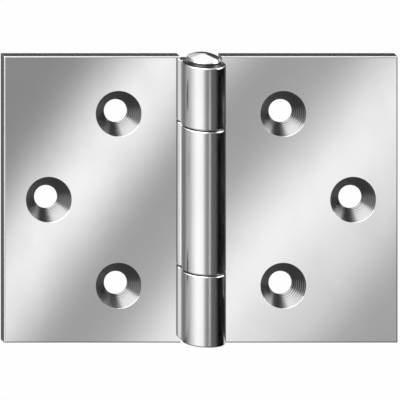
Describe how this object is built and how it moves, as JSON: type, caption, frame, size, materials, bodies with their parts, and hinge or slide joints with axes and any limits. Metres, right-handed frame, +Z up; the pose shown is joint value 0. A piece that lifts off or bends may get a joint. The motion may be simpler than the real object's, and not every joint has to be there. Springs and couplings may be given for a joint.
{
  "type": "butt hinge",
  "caption": "Wide butt hinge opened flat: countersunk square leaves, rolled knuckles and a fixed pin with a domed head.",
  "frame": {"origin": "on the pin's axis, level with the bottom edges of the leaves", "axes": "+X from the pin across the door leaf, +Y from the pin towards the surfaces the leaves are screwed to, +Z up along the pin to its domed head"},
  "size_m": [0.11, 0.012, 0.0818],
  "materials": {
    "leaf_steel": "polished stainless steel sheet",
    "pin_steel": "polished stainless steel rod"
  },
  "bodies": {
    "frame_side": {"frame_leaf": "leaf_steel", "hinge_pin": "pin_steel"},
    "door_side": {"door_leaf": "leaf_steel"}
  },
  "joints": [
    {"name": "leaf_swing", "type": "hinge", "parent": "frame_side", "child": "door_side", "pos_m": [0, 0, 0.04], "axis": [0, 0, -1], "range_deg": [-80, 180]}
  ]
}
